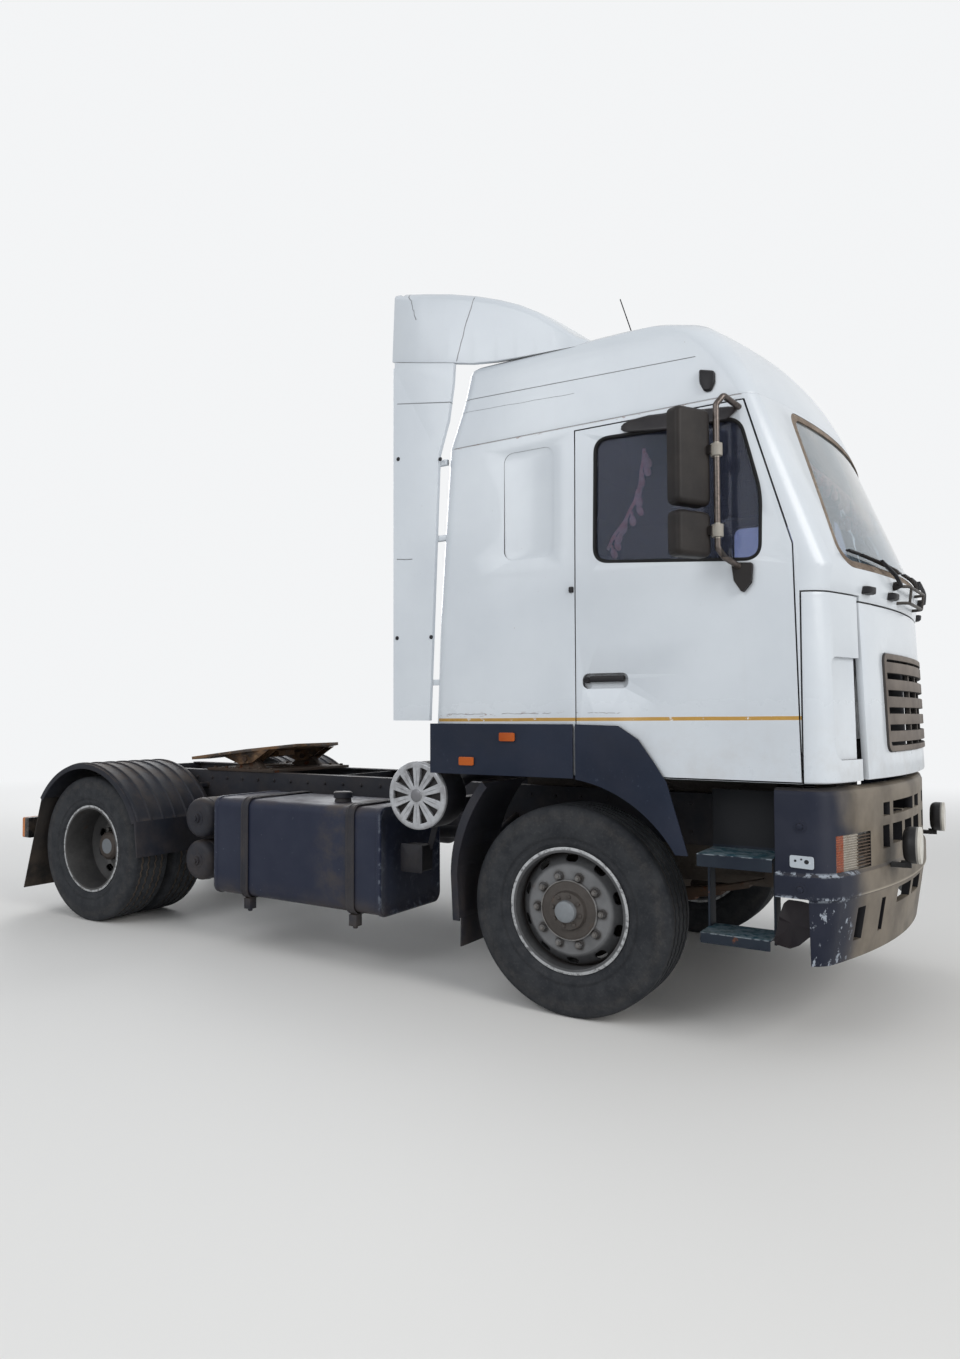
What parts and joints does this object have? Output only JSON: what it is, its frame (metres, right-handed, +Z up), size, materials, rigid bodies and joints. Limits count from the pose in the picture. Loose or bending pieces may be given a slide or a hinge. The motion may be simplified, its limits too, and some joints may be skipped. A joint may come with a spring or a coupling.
{
  "type": "semi truck tractor unit",
  "caption": "Two-axle cab-over tractor unit with high roof, tilting cab, opening doors, steered front wheels, twin rear wheels and a pitching fifth wheel.",
  "frame": {"origin": "on the ground at the middle of the overall length and width", "axes": "+X forward, +Y to the vehicle's left, +Z up"},
  "size_m": [5.86, 3.0518, 3.8799],
  "materials": {
    "white_paint": "aged gloss paint with dust and rust marks",
    "white_plastic": "moulded, weathered gloss",
    "dark_plastic": "moulded, scuffed matt",
    "taupe_plastic": "faded matt",
    "chassis_paint": "dusty matt paint with rust",
    "tank_paint": "worn satin paint, dusty",
    "bare_steel": "greasy, worn",
    "iron": "rough, dusty",
    "wheel_grey": "worn satin",
    "trim_silver": "satin silver",
    "tyre": "dusty rubber",
    "rubber": "matt",
    "aged_rubber": "aged, brownish",
    "glass": "clear, faint tint",
    "lamp_clear": "prismatic lens",
    "lamp_orange": "translucent lens",
    "lamp_red": "translucent lens",
    "cloth": "woven",
    "step_paint": "worn paint"
  },
  "bodies": {
    "chassis": {"frame_rails": "chassis_paint", "front_axle": "iron", "front_springs": "iron", "rear_axle": "iron", "rear_springs": "iron", "propeller_shaft": "iron", "engine_block": "iron", "radiator": "iron", "fuel_tank": "tank_paint", "tank_straps": "bare_steel", "air_reservoirs": "chassis_paint", "reservoir_hangers": "chassis_paint", "battery_box": "chassis_paint", "silencer": "iron", "air_cleaner": "dark_plastic", "wheel_trim": "trim_silver", "front_mudguards": "dark_plastic", "rear_mudguards": "dark_plastic", "rear_flaps": "rubber", "tail_lamps": "lamp_red", "bumper": "dark_plastic", "head_lamps": "lamp_clear", "spot_lamps": "lamp_clear", "entry_steps": "step_paint", "fifth_wheel_base": "bare_steel"},
    "fifth_wheel": {"fifth_wheel_plate": "bare_steel"},
    "cab": {"cab_shell": "white_paint", "corner_panels": "white_plastic", "high_roof": "white_plastic", "windscreen": "glass", "windscreen_rubber": "aged_rubber", "roof_spoiler": "white_plastic", "side_fairings": "white_plastic", "cab_skirts": "dark_plastic", "marker_lamps": "lamp_orange", "seats": "cloth", "dashboard": "dark_plastic"},
    "front_flap": {"front_flap": "white_plastic", "grille": "taupe_plastic"},
    "door_right": {"door_right": "white_paint", "door_glass_right": "glass", "door_flare_right": "dark_plastic", "mirror_right": "dark_plastic"},
    "knuckle_right": {"knuckle_right": "iron"},
    "front_wheel_right": {"tyre_front_right": "tyre", "wheel_front_right": "wheel_grey"},
    "rear_wheels_right": {"tyres_rear_right": "tyre", "wheels_rear_right": "wheel_grey"},
    "door_left": {"door_left": "white_paint", "door_glass_left": "glass", "door_flare_left": "dark_plastic", "mirror_left": "dark_plastic"},
    "knuckle_left": {"knuckle_left": "iron"},
    "front_wheel_left": {"tyre_front_left": "tyre", "wheel_front_left": "wheel_grey"},
    "rear_wheels_left": {"tyres_rear_left": "tyre", "wheels_rear_left": "wheel_grey"}
  },
  "joints": [
    {"name": "cab_tilt", "type": "hinge", "parent": "chassis", "child": "cab", "pos_m": [2.73, 0, 0.95], "axis": [0, 1, 0], "range_deg": [0, 60]},
    {"name": "front_flap_lift", "type": "hinge", "parent": "cab", "child": "front_flap", "pos_m": [2.855, 0, 1.937], "axis": [0, -1, 0], "range_deg": [0, 85]},
    {"name": "fifth_wheel_pitch", "type": "hinge", "parent": "chassis", "child": "fifth_wheel", "pos_m": [-1.42, 0, 1.128], "axis": [0, 1, 0], "range_deg": [0, 18]},
    {"name": "door_right_swing", "type": "hinge", "parent": "cab", "child": "door_right", "pos_m": [2.556, -1.252, 1.5], "axis": [0, 0, 1], "range_deg": [0, 70]},
    {"name": "steer_right", "type": "hinge", "parent": "chassis", "child": "knuckle_right", "pos_m": [1.48, -0.95, 0.507], "axis": [0, 0, 1], "range_deg": [-40, 40]},
    {"name": "front_wheel_right_spin", "type": "hinge", "parent": "knuckle_right", "child": "front_wheel_right", "pos_m": [1.48, -1.032, 0.507], "axis": [0, 1, 0], "continuous": true},
    {"name": "rear_wheels_right_spin", "type": "hinge", "parent": "chassis", "child": "rear_wheels_right", "pos_m": [-2.15, -1.042, 0.507], "axis": [0, 1, 0], "continuous": true},
    {"name": "door_left_swing", "type": "hinge", "parent": "cab", "child": "door_left", "pos_m": [2.556, 1.252, 1.5], "axis": [0, 0, -1], "range_deg": [0, 70]},
    {"name": "steer_left", "type": "hinge", "parent": "chassis", "child": "knuckle_left", "pos_m": [1.48, 0.95, 0.507], "axis": [0, 0, 1], "range_deg": [-40, 40]},
    {"name": "front_wheel_left_spin", "type": "hinge", "parent": "knuckle_left", "child": "front_wheel_left", "pos_m": [1.48, 1.032, 0.507], "axis": [0, 1, 0], "continuous": true},
    {"name": "rear_wheels_left_spin", "type": "hinge", "parent": "chassis", "child": "rear_wheels_left", "pos_m": [-2.15, 1.042, 0.507], "axis": [0, 1, 0], "continuous": true}
  ],
  "couplings": [
    {"joint": "steer_left", "follows": "steer_right", "ratio": 1}
  ]
}
